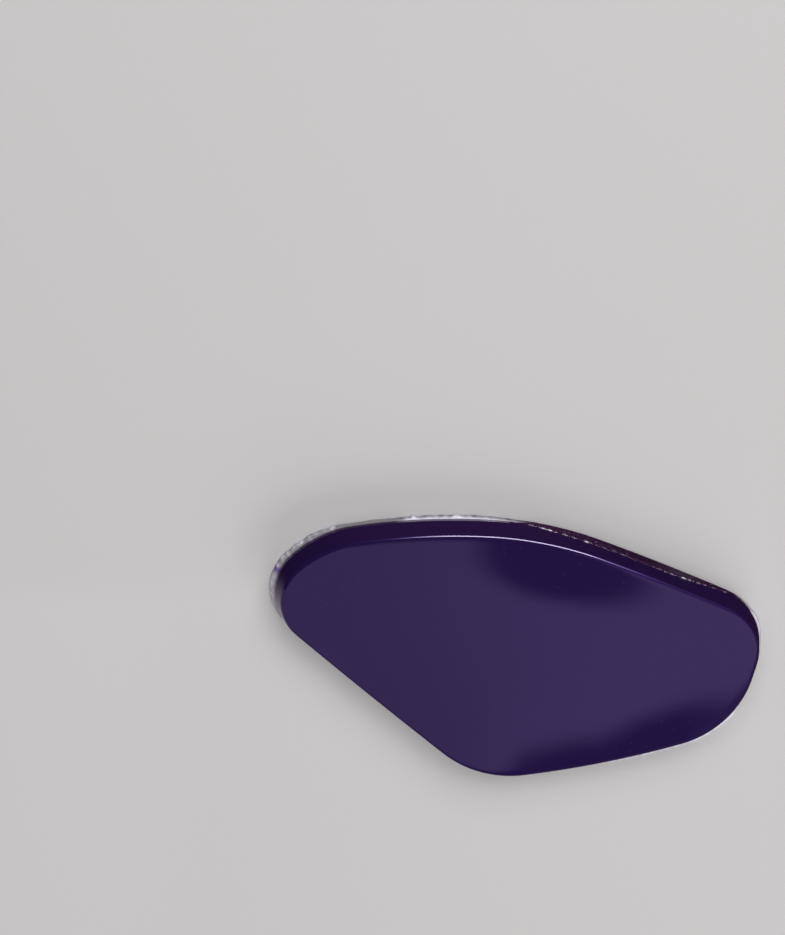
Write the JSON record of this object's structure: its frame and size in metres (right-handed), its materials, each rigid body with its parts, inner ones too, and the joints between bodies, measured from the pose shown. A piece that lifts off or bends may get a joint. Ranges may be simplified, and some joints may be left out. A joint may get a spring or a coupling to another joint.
{
  "type": "gel arch pad",
  "caption": "Soft violet gel cushion with a rounded, lopsided outline and a gently crowned face, on a thin clear tacky layer that holds it to the sole of the foot.",
  "frame": {"origin": "middle of the pad's rectangle on its sticky underside", "axes": "+Z out of the face, away from the foot; +Y towards the toes; +X towards the outer side of a left foot"},
  "size_m": [0.0804, 0.0458, 0.0071],
  "materials": {
    "violet_gel": "smooth glossy gel, deep violet, cast against a polished mould",
    "clear_gel": "clear tacky gel with a glossy, slightly ragged edge"
  },
  "bodies": {
    "root": {"gel_body": "violet_gel", "adhesive_layer": "clear_gel"}
  },
  "joints": []
}
